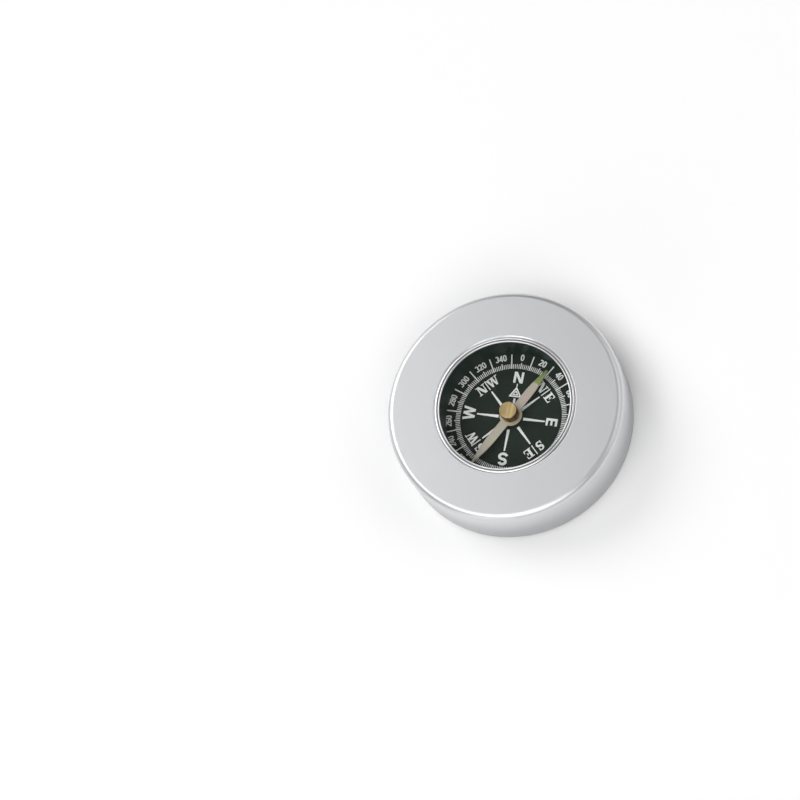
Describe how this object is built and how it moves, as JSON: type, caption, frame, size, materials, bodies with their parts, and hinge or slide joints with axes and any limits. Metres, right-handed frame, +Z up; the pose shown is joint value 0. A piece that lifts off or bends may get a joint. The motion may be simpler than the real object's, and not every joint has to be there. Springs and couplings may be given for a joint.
{
  "type": "needle compass",
  "caption": "Round flat compass: a satin turned aluminium body with rounded edges holds a glazed capsule whose painted needle turns freely over a black printed dial.",
  "frame": {"origin": "centre of the underside of the base pad, on which the compass lies", "axes": "+Z up along the pivot through the dial and window, +Y towards the dial's north mark, +X towards its east mark"},
  "size_m": [0.06, 0.06, 0.015],
  "materials": {
    "satin_aluminium": "fine bead-blasted satin, silver",
    "plate_aluminium": "plain rolled sheet",
    "pad_foam": "matt black non-slip foam",
    "polished_rim": "polished bright plating",
    "dial_black": "semi-matt black card with white print",
    "wall_black": "glossy black",
    "window_clear": "clear polished window",
    "brass": "turned brass with fine tool marks",
    "needle_paint": "cream paint with a green north tip",
    "pivot_steel": "ground hardened steel",
    "bearing_stone": "polished cup stone"
  },
  "bodies": {
    "body": {"base_pad": "pad_foam", "base_plate": "plate_aluminium", "housing": "satin_aluminium", "capsule_case": "polished_rim", "dial_card": "dial_black", "spacer_ring": "wall_black", "window_lens": "window_clear", "lens_ring": "polished_rim", "pivot_bush": "brass", "pivot_pin": "pivot_steel"},
    "needle_assembly": {"needle": "needle_paint", "needle_cap": "brass", "jewel_bearing": "bearing_stone"}
  },
  "joints": [
    {"name": "needle_turn", "type": "hinge", "parent": "body", "child": "needle_assembly", "pos_m": [0, 0, 0.00883], "axis": [0, 0, 1], "continuous": true}
  ]
}
